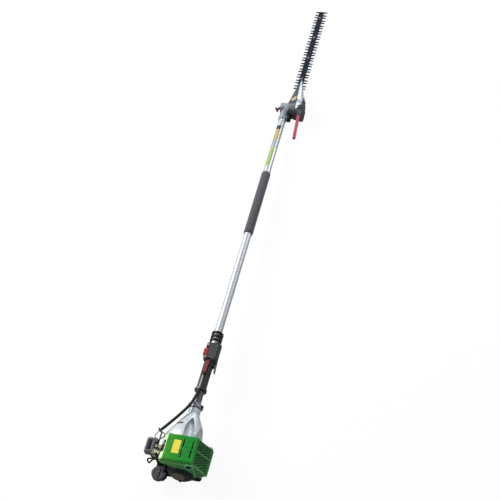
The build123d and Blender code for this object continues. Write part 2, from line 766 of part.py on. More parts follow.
def cross_gear():
    first = bevel(pinion_r, pinion_r, pinion_r / 2, pinion_r + 2.5, 14, 0.9, 0.3)
    first = Pos(pivot_x, 0, 0) * Rot(90, 0, 0) * first
    second = bevel(cross_r, ring_gear_r, 12.6, ring_gear_r + 1.5, 12, 0.7, 0.3)
    second = Pos(pivot_x, crank_y, 0) * Rot(-90, 0, 0) * second
    return first + second + rod_y(5, crank_y + ring_gear_r, -10, pivot_x, 0)


def crank_gear():
    ring = bevel(ring_gear_r, cross_r, 4.2, 14, 36, 0.7, 0.35)
    ring = Pos(pivot_x, crank_y, 0) * Rot(180, 0, 0) * ring
    pins = rod_z(4, upper_top + 0.3, -14, pivot_x, crank_y + crank_throw)
    return ring + pins + rod_z(5, -6, 22, pivot_x, crank_y)


def cone_y(right_r, left_r, right, left):
    cone = Cone(left_r, right_r, left - right)
    return Pos(pivot_x, (right + left) / 2, 0) * Rot(90, 0, 0) * cone


def head_nose():
    px = pivot_x
    big = [(1, nose_low), (-3, 4), (-45, 36), (-60, 28), (-69, 6), (-70, nose_low)]
    small = [(blade_y + 3, nose_low), (blade_y + 2, -8), (-29, 0), (-32, -3), (-34, -8), (-35, nose_low)]
    faces = []
    for x, points in ((px + 28, big), (nose_tip, small)):
        faces.append(Plane.YZ.offset(x) * make_face(Polyline(*points, close=True)))
    return loft(faces, ruled=True) - rod_y(28, drum_left, 10, px, 0)


def gear_case():
    px = pivot_x
    rim = drum_right + 8
    drum = rod_y(drum_r, drum_right, rim, px, 0) + cone_y(drum_r, drum_left_r, rim, drum_left)
    body = drum + head_nose()
    footing = prism_z([(px, -70), (px, 1), (nose_tip, blade_y + 3), (nose_tip, -35)], -60, 0)
    for right, left in ((-66, -58), (-16, -9)):
        body = body + (block(px + 50, px + 100, right, left, nose_low - 12, nose_low + 1) & footing)
    start, way = control_line()
    body = body + rod_y(hub_r, drum_left - 1, -10.5, px, 0) + rod_to(9, tuple(start), tuple(start + way * 28))
    body = body - rod_y(drum_r - 6, drum_right - 1, rim, px, 0)
    body = body - cone_y(drum_r - 6, drum_left_r - 4, rim - 0.01, drum_left - 4)
    body = body + (rod_z(10, 5, drum_r, px, crank_y) & drum) - rod_z(5 + run_gap, 0, 26, px, crank_y)
    body = body - rod_y(5 + run_gap, -40, -8, px, 0) - rod_y(14, drum_left, 0, px, 0)
    body = body - block(px + 20, px + 56, crank_y - 15.5, crank_y + 15.5, -26, nose_low)
    body = body - rod_to(5, tuple(start + way * 6), tuple(start + way * 40))
    return bored(body, head_screws())


def gear_case_cover():
    start, way = control_line()
    disc = rod_y(drum_r - 0.4, drum_right - 2.5, drum_right, pivot_x, 0)
    disc = disc + rod_y(20, drum_right - 4, drum_right - 2, pivot_x, 0)
    return bored(disc, head_screws() + [rod_to(9.4, tuple(start - way * 9), tuple(start + way * 40))])


def head_screws():
    screws = []
    for i in range(6):
        a = radians(60 * i)
        x, z = pivot_x + cos(a) * (drum_r - 3.2), sin(a) * (drum_r - 3.2)
        shank = rod_y(1.6, drum_right - 2.5, drum_right + 6, x, z)
        screws.append(shank + rod_y(2.6, drum_right - 4.5, drum_right - 2.5, x, z))
    return screws


def gear_case_screws():
    return group(head_screws())


def blade_plate():
    px = pivot_x
    low = nose_low - 12
    outline = [(px + 50, -66), (px + 50, -9), (px + 100, -12), (px + 100, -56)]
    return prism_z(outline, low - 3, low)


def blade_bar():
    tip = blade_tip - 8
    left, right, low = blade_y + bar_half, blade_y - bar_half, nose_low - bar_thick
    body = block(nose_tip - 70, tip - bar_half, right, left, low, nose_low)
    body = body + rod_z(bar_half, low, nose_low, tip - bar_half, blade_y)
    return bored(body, [rod_z(bolt_r, -40, 0, x, blade_y) for x in bolt_places()])


def bolt_places():
    return [blade_tip - bolt_from_tip - bolt_pitch * i for i in range(bolt_count)]


def blade_bolts():
    bolts = []
    for x in bolt_places():
        head = Pos(x, blade_y, nose_low) * extrude(RegularPolygon(5.6, 6), 4)
        nut = rod_z(nut_r, nut_low, nut_low + 3, x, blade_y)
        bolts.append(rod_z(bolt_r, nut_low, nose_low, x, blade_y) + head + nut)
    return group(bolts)


def toothed(first, top):
    tail_end = nose_tip - 46
    count = int((first - tail_end - 12) / tooth_pitch) + 1
    left = []
    for i in range(count):
        x = first - tooth_pitch * i
        left += [(x + 4.0, bar_half), (x + 1.8, bar_half + tooth_long), (x - 1.8, bar_half + tooth_long)]
        left += [(x - 4.0, bar_half)]
    shift = crank_y - blade_y
    left += [(tail_end, 7), (pivot_x + 70, shift + 7), (pivot_x + 20, shift + 7)]
    left += [(pivot_x + 15, shift + 17), (pivot_x - 14, shift + 17)]
    right = [(x, -y) for x, y in left[: 4 * count]]
    right += [(tail_end, -7), (pivot_x + 70, shift - 7), (pivot_x + 20, shift - 7)]
    right += [(pivot_x + 15, shift - 17), (pivot_x - 14, shift - 17)]
    outline = [(x, y + blade_y) for x, y in left + right[::-1]]
    body = prism_z(outline, top - blade_thick, top)
    travel = 2 * crank_throw + 2 * bolt_r + 1.2
    for x in bolt_places():
        body = body - Pos(x, blade_y, top) * extrude(SlotOverall(travel, 2 * bolt_r + 0.8), 10, both=True)
    yoke = Rot(0, 0, 90) * extrude(SlotOverall(2 * crank_throw + 9, 8.8), 10, both=True)
    return body - Pos(pivot_x, crank_y, top) * yoke


def upper_blade():
    return toothed(blade_tip - 4, upper_top)


def lower_blade():
    return toothed(blade_tip - 4 - tooth_pitch / 2, lower_top)


# The red sleeved bar used to swing the head leans a little away from the tube
def control_line():
    start, end = Vector(pivot_x - 30, -66, 30), Vector(pivot_x - 185, -76.5, 30)
    return start, (end - start).normalized()


def control_handle():
    start, way = control_line()
    return rod_to(5, tuple(start + way * 6), tuple(start + way * 148))


def control_grip():
    start, way = control_line()
    sleeve = rod_to(6.5, tuple(start + way * 29), tuple(start + way * 155))
    sleeve = fillet(sleeve.edges().filter_by(GeomType.CIRCLE).sort_by(Axis.X)[:1], 3.0)
    return sleeve - rod_to(5, tuple(start), tuple(start + way * 148))


pieces = [
    main_tube, shaft_bushes, drive_shaft, foam_grip, hanger_clamp, handle_shell_upper, handle_shell_lower,
    throttle_trigger, throttle_lock, stop_switch, throttle_conduit, cable_bracket, fan_housing, damper_ring,
    tube_clamp, ball_bearings, clutch_drum, clutch_shoes, flywheel, crankcase, cylinder, spark_plug, plug_boot,
    crankshaft, piston, connecting_rod, muffler, engine_cover, muffler_guard, insulator_block, carburettor,
    throttle_arm, filter_base, filter_element, filter_cover, choke_lever, primer_bulb, fuel_tank, fuel_cap,
    fuel_lines, starter_housing, starter_pulley, starter_rope, starter_grip, case_screws,
    clamp_bolts, knuckle, lock_knob, cross_gear, crank_gear, gear_case, gear_case_cover, gear_case_screws,
    blade_plate, blade_bar, blade_bolts, upper_blade, lower_blade, control_handle, control_grip,
]

if __name__ == "__main__":
    os.makedirs("parts", exist_ok=True)
    for piece in pieces:
        export_step(rest * piece(), "parts/" + piece.__name__ + ".step")
    print("pieces", len(pieces), "rest pitch", round(rest_pitch, 3))
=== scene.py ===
import math

import bmesh
import bpy
from mathutils import Matrix, Vector


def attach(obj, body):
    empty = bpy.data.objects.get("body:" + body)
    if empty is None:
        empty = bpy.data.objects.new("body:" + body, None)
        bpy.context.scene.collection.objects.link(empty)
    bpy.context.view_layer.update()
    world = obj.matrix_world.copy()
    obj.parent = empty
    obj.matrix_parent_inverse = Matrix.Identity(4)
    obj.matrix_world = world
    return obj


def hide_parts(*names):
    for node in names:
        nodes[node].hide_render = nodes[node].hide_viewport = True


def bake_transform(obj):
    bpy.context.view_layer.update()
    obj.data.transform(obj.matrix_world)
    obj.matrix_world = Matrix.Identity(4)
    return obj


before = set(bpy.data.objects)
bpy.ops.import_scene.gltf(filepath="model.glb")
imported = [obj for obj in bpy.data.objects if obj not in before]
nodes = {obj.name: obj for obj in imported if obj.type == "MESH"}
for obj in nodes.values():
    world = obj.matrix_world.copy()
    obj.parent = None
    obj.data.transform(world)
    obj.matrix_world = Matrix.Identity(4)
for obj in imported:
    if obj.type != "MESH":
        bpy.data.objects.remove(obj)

scene = bpy.context.scene
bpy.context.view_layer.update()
print("frame loaded,", len(nodes), "nodes")

# at rest on its tank, the tube leans to the blade tip; pieces are drawn along it, in millimetres
restSet = {"lean": 2.1363468, "tankDepth": 0.108, "millimetre": 0.001}
leanAngle = math.radians(restSet["lean"])
tubeToFloor = (Matrix.Rotation(leanAngle, 4, "Y") @ Matrix.Translation((0, 0, restSet["tankDepth"]))
               @ Matrix.Scale(restSet["millimetre"], 4))


# the camera stands where the photo was taken from
cameraSet = {"lens": 83.016, "sensor": 36.0, "place": (-1.456046, -1.021298, 3.550355),
             "right": (0.229422, -0.965635, -0.122125), "up": (0.807357, 0.118717, 0.577998),
             "back": (-0.543636, -0.231204, 0.806848)}
lens = bpy.data.cameras.new("photoCamera")
lens.sensor_width = cameraSet["sensor"]
lens.lens = cameraSet["lens"]
camera = bpy.data.objects.new("photoCamera", lens)
scene.collection.objects.link(camera)
turn = Matrix((cameraSet["right"], cameraSet["up"], cameraSet["back"])).transposed().to_4x4()
camera.matrix_world = Matrix.Translation(cameraSet["place"]) @ turn
scene.camera = camera
scene.view_settings.view_transform = "Standard"


def linear(hexColour):
    parts = [int(hexColour[i:i + 2], 16) / 255 for i in (0, 2, 4)]
    return tuple(c / 12.92 if c <= 0.04045 else ((c + 0.055) / 1.055) ** 2.4 for c in parts) + (1.0,)


# adds one node: settings go to sockets or properties, links come from other outputs
def addNode(tree, kind, settings=None, links=None):
    node = tree.nodes.new(kind)
    for key, value in (settings or {}).items():
        if isinstance(key, int) or key in node.inputs:
            node.inputs[key].default_value = value
        else:
            setattr(node, key, value)
    for key, source in (links or {}).items():
        tree.links.new(source, node.inputs[key])
    return node


# what is seen straight or through clear plastic is white; the rest is soft room light
def seenDirectly(tree):
    ray = addNode(tree, "ShaderNodeLightPath")
    return addNode(tree, "ShaderNodeMath", {"operation": "ADD", "use_clamp": True},
                   {0: ray.outputs["Is Camera Ray"], 1: ray.outputs["Is Transmission Ray"]}).outputs[0]


roomSet = {"soft": 0.34, "tint": "F0F4F8"}
room = bpy.data.worlds.new("studioRoom")
scene.world = room
room.use_nodes = True
tree = room.node_tree
tree.nodes.clear()
soft = addNode(tree, "ShaderNodeBackground", {"Color": linear(roomSet["tint"]),
                                              "Strength": roomSet["soft"]})
white = addNode(tree, "ShaderNodeBackground", {"Color": (1, 1, 1, 1), "Strength": 1.0})
both = addNode(tree, "ShaderNodeMixShader", {}, {0: seenDirectly(tree), 1: soft.outputs[0],
                                                 2: white.outputs[0]})
addNode(tree, "ShaderNodeOutputWorld", {}, {0: both.outputs[0]})

lampSet = {"keyLamp": {"place": (1.9, 3.2, 2.9), "aim": (0.9, 0.0, 0.1), "size": (5.2, 2.4), "watts": 290},
           "frontLamp": {"place": (4.15, -0.75, 0.65), "aim": (1.7, -0.05, 0.1), "size": (1.0, 0.7),
                         "watts": 22},
           "sideLamp": {"place": (3.05, -1.75, 1.0), "aim": (1.4, 0.0, 0.1), "size": (1.3, 1.1),
                        "watts": 30},
           "fillLamp": {"place": (-2.4, -2.0, 3.0), "aim": (0.8, 0.0, 0.1), "size": (2.5, 2.5),
                        "watts": 12}}
for name, s in lampSet.items():
    lamp = bpy.data.lights.new(name, "AREA")
    lamp.shape = "RECTANGLE"
    lamp.size, lamp.size_y = s["size"]
    lamp.energy = s["watts"]
    holder = bpy.data.objects.new(name, lamp)
    scene.collection.objects.link(holder)
    holder.location = s["place"]
    holder.rotation_euler = (Vector(s["aim"]) - Vector(s["place"])).to_track_quat("-Z", "Y").to_euler()

floorSet = {"half": 20.0, "seen": "F6F6F6", "bounce": "A8A8A8", "glow": 0.93}
bm = bmesh.new()
bmesh.ops.create_grid(bm, x_segments=1, y_segments=1, size=floorSet["half"])
mesh = bpy.data.meshes.new("floor")
bm.to_mesh(mesh)
bm.free()
floor = bpy.data.objects.new("floor", mesh)
scene.collection.objects.link(floor)
paper = bpy.data.materials.new("paleStudioPaper")
paper.use_nodes = True
tree = paper.node_tree
tree.nodes.clear()
seen = seenDirectly(tree)
grey = addNode(tree, "ShaderNodeMix", {"data_type": "RGBA", 6: linear(floorSet["bounce"]),
                                       7: linear(floorSet["seen"])}, {0: seen})
matt = addNode(tree, "ShaderNodeBsdfDiffuse", {}, {"Color": grey.outputs[2]})
glow = addNode(tree, "ShaderNodeEmission", {"Color": (1, 1, 1, 1), "Strength": 1.0})
share = addNode(tree, "ShaderNodeMath", {"operation": "MULTIPLY", 1: floorSet["glow"]}, {0: seen})
both = addNode(tree, "ShaderNodeMixShader", {}, {0: share.outputs[0], 1: matt.outputs[0],
                                                 2: glow.outputs[0]})
addNode(tree, "ShaderNodeOutputMaterial", {}, {0: both.outputs[0]})
floor.data.materials.append(paper)
print("camera, lamps and floor set")


# the stretch of each noise or angle over which a finish changes
spanSet = {"cloud": (0.32, 0.68), "fleck": (0.56, 0.72), "dull": (0.3, 0.7), "corner": (0.99, 0.8)}


def spanFrom(kind):
    return {"From Min": spanSet[kind][0], "From Max": spanSet[kind][1]}


# One surface from its settings: two tones in soft clouds, a fine grain that also lifts the surface,
# corners rounded for light and painted paler as edge wear and painted highlight, and bands of another tone
# where a casting or film ends, also laid as painted light and painted shade.
def makeFinish(name, s):
    surface = bpy.data.materials.new(name)
    surface.use_nodes = True
    tree = surface.node_tree
    tree.nodes.clear()
    skin = addNode(tree, "ShaderNodeBsdfPrincipled", {"Metallic": s.get("metallic", 0.0),
                                                      "IOR": s.get("ior", 1.5)})
    for socket, value in s.get("shader", {}).items():
        skin.inputs[socket].default_value = value
    addNode(tree, "ShaderNodeOutputMaterial", {}, {"Surface": skin.outputs[0]})
    place = addNode(tree, "ShaderNodeTexCoord").outputs["Object"]
    lay = addNode(tree, "ShaderNodeMapping", {"vector_type": "TEXTURE", "Rotation": (0, leanAngle, 0),
                                              "Scale": s.get("stretch", (1, 1, 1))},
                  {"Vector": place}).outputs[0]
    cloud = addNode(tree, "ShaderNodeTexNoise", {"Scale": 1000 / s["cloudMm"], "Detail": 5.0,
                                                 "Roughness": 0.62},
                    {"Vector": lay}).outputs[0]
    if "cellMm" in s:
        grain = addNode(tree, "ShaderNodeTexVoronoi", {"Scale": 1000 / s["cellMm"]},
                        {"Vector": lay}).outputs[0]
    else:
        grain = addNode(tree, "ShaderNodeTexNoise", {"Scale": 1000 / s["grainMm"], "Detail": 3.0,
                                                     "Roughness": 0.7},
                        {"Vector": lay}).outputs[0]
    spread = addNode(tree, "ShaderNodeMapRange", spanFrom("cloud"), {"Value": cloud}).outputs[0]
    tone = addNode(tree, "ShaderNodeMix", {"data_type": "RGBA", 6: linear(s["tones"][0]),
                                           7: linear(s["tones"][1])},
                   {0: spread}).outputs[2]
    if "fleck" in s:
        speck = addNode(tree, "ShaderNodeMapRange", spanFrom("fleck") | {"To Max": 0.8},
                        {"Value": grain}).outputs[0]
        tone = addNode(tree, "ShaderNodeMix", {"data_type": "RGBA", 7: linear(s["fleck"])},
                       {0: speck, 6: tone}).outputs[2]
    for band in s.get("bands", ()):
        along = addNode(tree, "ShaderNodeVectorMath", {"operation": "DOT_PRODUCT", 1: band["way"]},
                        {0: lay}).outputs["Value"]
        ragged = addNode(tree, "ShaderNodeMath", {"operation": "MULTIPLY_ADD", 1: band.get("ragged", 0.0)},
                         {0: cloud, 2: along}).outputs[0]
        mask = addNode(tree, "ShaderNodeMapRange", {"From Min": band["start"], "From Max": band["end"]},
                       {"Value": ragged}).outputs[0]
        tone = addNode(tree, "ShaderNodeMix", {"data_type": "RGBA", 7: linear(band["tone"])},
                       {0: mask, 6: tone}).outputs[2]
    rounded = addNode(tree, "ShaderNodeBevel", {"samples": 4,
                                                "Radius": s.get("cornerMm", 0.8) / 1000}).outputs[0]
    # corners painted paler: edge wear, and on the green cover also a painted highlight
    if "wornEdgeAndHighlight" in s:
        flat = addNode(tree, "ShaderNodeNewGeometry").outputs["Normal"]
        corner = addNode(tree, "ShaderNodeVectorMath", {"operation": "DOT_PRODUCT"},
                         {0: rounded, 1: flat}).outputs["Value"]
        wornEdgeAndHighlightMask = addNode(tree, "ShaderNodeMapRange", spanFrom("corner") | {"To Max": s.get("wornEdgeAndHighlightShare", 0.7)},
                      {"Value": corner}).outputs[0]
        wornEdgeAndHighlightMask = addNode(tree, "ShaderNodeMath", {"operation": "MULTIPLY", "use_clamp": True},
                      {0: wornEdgeAndHighlightMask, 1: spread}).outputs[0]
        tone = addNode(tree, "ShaderNodeMix", {"data_type": "RGBA", 7: linear(s["wornEdgeAndHighlight"])},
                       {0: wornEdgeAndHighlightMask, 6: tone}).outputs[2]
    tree.links.new(tone, skin.inputs["Base Color"])
    low, high = s["rough"]
    dull = addNode(tree, "ShaderNodeMapRange", spanFrom("dull") | {"To Min": low, "To Max": high},
                   {"Value": cloud}).outputs[0]
    tree.links.new(dull, skin.inputs["Roughness"])
    lift = addNode(tree, "ShaderNodeBump", {"Strength": s["lift"],
                                            "Distance": s.get("liftMm", 0.15) / 1000},
                   {"Height": grain, "Normal": rounded}).outputs[0]
    tree.links.new(lift, skin.inputs["Normal"])
    return surface


finishes = {
    # drawn and clear-anodised aluminium tube: satin, with long hairlines along the draw
    "drawnAluminium": {"tones": ("B4B9BE", "C3C7CB"), "metallic": 0.62, "rough": (0.42, 0.48),
                       "stretch": (60, 1, 1), "cloudMm": 5.0, "grainMm": 0.9, "lift": 0.06, "cornerMm": 0.3,
                       # a darker grey tone over the tube's rear end, below the handle
                       "bands": ({"way": (60, 0, 0), "start": 0.275, "end": 0.262, "tone": "6A6D72"},)},
    # die-cast aluminium under silver lacquer: even, a soft orange-peel skin, corners rubbed to bare metal
    "silverCasting": {"tones": ("BEC5C9", "D0D6DA"), "metallic": 0.25, "rough": (0.34, 0.46),
                      "cloudMm": 26.0, "grainMm": 1.8, "lift": 0.25, "cornerMm": 1.4, "wornEdgeAndHighlight": "E6E9EB"},
    # the knuckle's casting is left greyer
    "knuckleCasting": {"tones": ("868D95", "9BA2A9"), "metallic": 0.3, "rough": (0.36, 0.48),
                       "cloudMm": 14.0, "grainMm": 1.6, "lift": 0.3, "cornerMm": 1.4, "wornEdgeAndHighlight": "D3D8DC"},
    # the gear case casting, lacquered in front; the part behind the pivot painted dark as painted shade and
    # dark reflection, and the left flank painted darker as painted shade
    "gearCasting": {"tones": ("A0A7B1", "BCC3CD"), "metallic": 0.35, "rough": (0.3, 0.44), "cloudMm": 16.0,
                    "grainMm": 1.6, "lift": 0.3, "cornerMm": 1.6, "wornEdgeAndHighlight": "EEF0F2",
                    # left flank painted darker: painted shade
                    "bands": ({"way": (-0.112, 1, 0), "start": -0.231, "end": -0.226, "tone": "40464C"},
                              # behind the pivot: painted shade and painted dark reflection
                              {"way": (1, 0, 0), "start": 1.614, "end": 1.604, "ragged": 0.012,
                               "tone": "32363A"})},
    # bare sand-cast aluminium inside the covers: dull and speckled
    "bareCasting": {"tones": ("83878A", "9B9FA2"), "metallic": 0.6, "rough": (0.45, 0.6), "cloudMm": 9.0,
                    "grainMm": 0.9, "lift": 0.45, "fleck": "6E7174", "wornEdgeAndHighlight": "BFC2C4"},
    # the carburettor's zinc casting, passivated pale yellow
    "yellowZinc": {"tones": ("BDB98E", "D2CFA9"), "metallic": 0.15, "rough": (0.38, 0.52), "cloudMm": 8.0,
                   "grainMm": 0.9, "lift": 0.3, "wornEdgeAndHighlight": "E9E6CC"},
    # dark painted pressed steel and cast covers
    "darkPaint": {"tones": ("2E2E30", "3B3B3D"), "metallic": 0.1, "rough": (0.4, 0.55), "cloudMm": 14.0,
                  "grainMm": 1.1, "lift": 0.25, "wornEdgeAndHighlight": "6C6C6C"},
    # turned and ground steel
    "groundSteel": {"tones": ("84878B", "A2A5A9"), "metallic": 1.0, "rough": (0.22, 0.36), "cloudMm": 6.0,
                    "grainMm": 0.7, "lift": 0.15, "wornEdgeAndHighlight": "C9CBCE"},
    # heat-blued exhaust steel: brown and blue clouds
    "exhaustSteel": {"tones": ("4B4340", "5C5A60"), "metallic": 0.8, "rough": (0.38, 0.55), "cloudMm": 12.0,
                     "grainMm": 0.9, "lift": 0.3, "wornEdgeAndHighlight": "8A8078"},
    # blackened blade steel, blue-black with grinding lines across it and paler cutting corners
    "blackedSteel": {"tones": ("0F1620", "182130"), "rough": (0.36, 0.48), "stretch": (1, 12, 1),
                     "cloudMm": 7.0, "grainMm": 0.8, "lift": 0.2, "cornerMm": 0.5, "wornEdgeAndHighlight": "59616D",
                     "shader": {"Specular IOR Level": 0.22}},
    # bright zinc-plated fasteners
    "brightZinc": {"tones": ("8F96A0", "ABB1B9"), "metallic": 0.9, "rough": (0.28, 0.4), "cloudMm": 3.0,
                   "grainMm": 0.6, "lift": 0.1, "cornerMm": 0.5, "wornEdgeAndHighlight": "E8EBED"},
    # black-oxide screws, faintly oily
    "oxideScrew": {"tones": ("28282A", "353537"), "metallic": 0.8, "rough": (0.3, 0.42), "cloudMm": 3.0,
                   "grainMm": 0.6, "lift": 0.15, "cornerMm": 0.4, "wornEdgeAndHighlight": "77787A"},
    # black glass-filled nylon, moulded: fine spark grain, half dull
    "blackNylon": {"tones": ("101114", "191A1D"), "rough": (0.4, 0.54), "cloudMm": 18.0, "grainMm": 0.9,
                   "lift": 0.35, "cornerMm": 1.0, "wornEdgeAndHighlight": "505156", "wornEdgeAndHighlightShare": 0.5,
                   "shader": {"Specular IOR Level": 0.25}},
    # the throttle handle's nylon is smoother from hands
    "handleNylon": {"tones": ("131519", "1C1E23"), "rough": (0.27, 0.33), "cloudMm": 22.0, "grainMm": 1.1,
                    "lift": 0.22, "cornerMm": 1.2, "wornEdgeAndHighlight": "66686F", "wornEdgeAndHighlightShare": 0.5,
                    "shader": {"Specular IOR Level": 0.8}},
    # dark grey nylon of the filter cover and trigger
    "greyNylon": {"tones": ("4B4C53", "5B5C63"), "rough": (0.4, 0.55), "cloudMm": 14.0, "grainMm": 0.9,
                  "lift": 0.35, "cornerMm": 1.0, "wornEdgeAndHighlight": "9A9BA1", "wornEdgeAndHighlightShare": 0.6},
    # the fuel cap's nylon, darker from fuel
    "capNylon": {"tones": ("2C2C34", "393942"), "rough": (0.4, 0.55), "cloudMm": 14.0, "grainMm": 0.9,
                 "lift": 0.35, "cornerMm": 1.0, "wornEdgeAndHighlight": "7C7C84", "wornEdgeAndHighlightShare": 0.6},
    # glossy green ABS cover, faint flow clouds, and corners painted pale as scuffs and as painted highlight
    "greenCover": {"tones": ("0E7A22", "188630"), "rough": (0.24, 0.36), "cloudMm": 30.0, "grainMm": 1.4,
                   "lift": 0.12, "cornerMm": 2.2, "wornEdgeAndHighlight": "A4E494", "wornEdgeAndHighlightShare": 0.85,
                   # lighter green over the cover's left part, toward the key lamp, as painted light; the
                   # right part keeps the darker green as painted shade
                   "bands": ({"way": (0, 1, 0), "start": -0.03, "end": 0.045, "ragged": 0.02,
                              "tone": "3B9026"},
                             # pale band along the left top chamfer: a painted highlight
                             {"way": (0, 1, 1), "start": 0.2372, "end": 0.2396, "tone": "CDEBB8"}),
                   "shader": {"Specular IOR Level": 0.18}},
    # the muffler guard's darker heat-proof green nylon
    "greenGuard": {"tones": ("2C6C35", "387B42"), "rough": (0.42, 0.56), "cloudMm": 12.0, "grainMm": 1.2,
                   "lift": 0.3, "cornerMm": 1.2, "wornEdgeAndHighlight": "6AA36F", "wornEdgeAndHighlightShare": 0.5,
                   "shader": {"Specular IOR Level": 0.3}},
    # moulded beads of the guard, painted paler than its walls as painted highlight lines
    "paleHighlightBead": {"tones": ("6CB46C", "84C884"), "rough": (0.3, 0.42), "cloudMm": 10.0, "grainMm": 1.0,
                  "lift": 0.2, "wornEdgeAndHighlight": "B4E0B2"},
    # red moulded nylon of the stop switch
    "redNylon": {"tones": ("98121E", "AF1E2A"), "rough": (0.28, 0.4), "cloudMm": 9.0, "grainMm": 0.9,
                 "lift": 0.2, "cornerMm": 1.0, "wornEdgeAndHighlight": "E58A8E", "wornEdgeAndHighlightShare": 0.6},
    # deeper red nylon of the lock lever and knob
    "deepRedNylon": {"tones": ("620F17", "761922"), "rough": (0.3, 0.42), "cloudMm": 9.0, "grainMm": 0.9,
                     "lift": 0.2, "cornerMm": 1.0, "wornEdgeAndHighlight": "B7626A", "wornEdgeAndHighlightShare": 0.5},
    # red dipped vinyl sleeve, slightly waxy
    "redVinyl": {"tones": ("962138", "AA3049"), "rough": (0.3, 0.42), "stretch": (6, 1, 1), "cloudMm": 12.0,
                 "grainMm": 1.3, "lift": 0.2, "cornerMm": 1.0, "wornEdgeAndHighlight": "D98A94", "wornEdgeAndHighlightShare": 0.5},
    # closed-cell foam: open pores, drawn at twice their real size so that they show
    "closedFoam": {"tones": ("33353A", "43464C"), "rough": (0.75, 0.9), "cloudMm": 11.0, "cellMm": 1.6,
                   "lift": 0.6, "liftMm": 0.4, "cornerMm": 1.5,
                   "shader": {"Sheen Weight": 0.35, "Sheen Roughness": 0.5}},
    # matt black moulded rubber
    "blackRubber": {"tones": ("0D0D0E", "151516"), "rough": (0.42, 0.58), "cloudMm": 12.0, "grainMm": 0.9,
                    "lift": 0.25, "cornerMm": 0.8, "wornEdgeAndHighlight": "3C3C3E",
                    "shader": {"Specular IOR Level": 0.3}},
    # dark red fuel hose
    "redHose": {"tones": ("5A151B", "741F25"), "rough": (0.35, 0.5), "cloudMm": 8.0, "grainMm": 0.8,
                "lift": 0.2},
    # cream phenolic plate with a flow grain
    "creamPhenolic": {"tones": ("8E8A78", "A5A18C"), "rough": (0.42, 0.58), "cloudMm": 8.0, "grainMm": 0.9,
                     "lift": 0.3, "wornEdgeAndHighlight": "CFCBB8"},
    # open-cell filter foam
    "filterFoam": {"tones": ("3A3A38", "4C4C49"), "rough": (0.85, 0.95), "cloudMm": 7.0, "cellMm": 2.2,
                   "lift": 0.9, "liftMm": 0.8},
    # glazed spark plug
    "plugGlaze": {"tones": ("CFCFCA", "DEDEDA"), "rough": (0.12, 0.25), "cloudMm": 6.0, "grainMm": 0.8,
                  "lift": 0.05},
    # soft clear primer bulb, reddish from fuel
    "primerSilicone": {"tones": ("7A3A33", "8C4A41"), "rough": (0.2, 0.32), "cloudMm": 5.0, "grainMm": 0.7,
                       "lift": 0.1, "shader": {"Transmission Weight": 0.35}},
    # printed vinyl films, plain: a fine leather-like skin and worn rims
    "yellowFilm": {"tones": ("DCCA2C", "E6D73E"), "rough": (0.3, 0.45), "cloudMm": 9.0, "grainMm": 1.0,
                   "lift": 0.15, "cornerMm": 0.6, "wornEdgeAndHighlight": "FFF4B0"},
    "paleYellowFilm": {"tones": ("A3945A", "B0A268"), "rough": (0.3, 0.45), "cloudMm": 12.0, "grainMm": 1.0,
                       "lift": 0.15, "cornerMm": 0.6, "wornEdgeAndHighlight": "F0E7BF"},
    "limeFilm": {"tones": ("86A156", "95B066"), "rough": (0.3, 0.45), "cloudMm": 14.0, "grainMm": 1.0,
                 "lift": 0.15, "cornerMm": 0.6, "wornEdgeAndHighlight": "E3EFC4"},
    "paleFilm": {"tones": ("8E939D", "9FA4AD"), "rough": (0.3, 0.45), "cloudMm": 10.0, "grainMm": 1.0,
                 "lift": 0.15, "cornerMm": 0.6, "wornEdgeAndHighlight": "E2E5E8"},
    "blackFilm": {"tones": ("26262A", "333338"), "rough": (0.3, 0.45), "cloudMm": 8.0, "grainMm": 1.0,
                  "lift": 0.15, "cornerMm": 0.6, "wornEdgeAndHighlight": "6A6A6E"},
    # fine dark gauze behind the guard's holes
    "sootedGauze": {"tones": ("27311F", "343F2A"), "metallic": 0.3, "rough": (0.55, 0.7), "cloudMm": 6.0,
                    "cellMm": 1.4, "lift": 0.7, "liftMm": 0.4},
    # stamped badge plates, dull gold and dark bronze
    "goldBadge": {"tones": ("6F6238", "857548"), "metallic": 0.5, "rough": (0.3, 0.45), "cloudMm": 5.0,
                  "grainMm": 0.8, "lift": 0.3, "wornEdgeAndHighlight": "BDAE7C"},
    "bronzeBadge": {"tones": ("3A3320", "4A4129"), "metallic": 0.4, "rough": (0.35, 0.5), "cloudMm": 5.0,
                    "grainMm": 0.8, "lift": 0.3, "wornEdgeAndHighlight": "A08F58"},
}
made = {name: makeFinish(name, s) for name, s in finishes.items()}


# braided nylon cord: two crossing sets of strands, about 2 mm apart
def braidedNylon():
    s = {"strandMm": 2.0, "tones": ("8E8C84", "D3D0C6")}
    surface = bpy.data.materials.new("braidedNylon")
    surface.use_nodes = True
    tree = surface.node_tree
    tree.nodes.clear()
    skin = addNode(tree, "ShaderNodeBsdfPrincipled", {"Roughness": 0.7, "Sheen Weight": 0.2})
    addNode(tree, "ShaderNodeOutputMaterial", {}, {"Surface": skin.outputs[0]})
    place = addNode(tree, "ShaderNodeTexCoord").outputs["Object"]
    strands = []
    for way in (0.8, -0.8):
        lay = addNode(tree, "ShaderNodeMapping", {"Rotation": (way, 0, 0)}, {"Vector": place}).outputs[0]
        strands.append(addNode(tree, "ShaderNodeTexWave",
                               {"bands_direction": "Y", "Scale": 1000 / s["strandMm"] / 20},
                               {"Vector": lay}).outputs[1])
    braid = addNode(tree, "ShaderNodeMath", {"operation": "MAXIMUM"},
                    {0: strands[0], 1: strands[1]}).outputs[0]
    tone = addNode(tree, "ShaderNodeMix", {"data_type": "RGBA", 6: linear(s["tones"][0]),
                                           7: linear(s["tones"][1])}, {0: braid})
    tree.links.new(tone.outputs[2], skin.inputs["Base Color"])
    lift = addNode(tree, "ShaderNodeBump", {"Strength": 0.6, "Distance": 0.0004}, {"Height": braid})
    tree.links.new(lift.outputs[0], skin.inputs["Normal"])
    return surface


made["braidedNylon"] = braidedNylon()

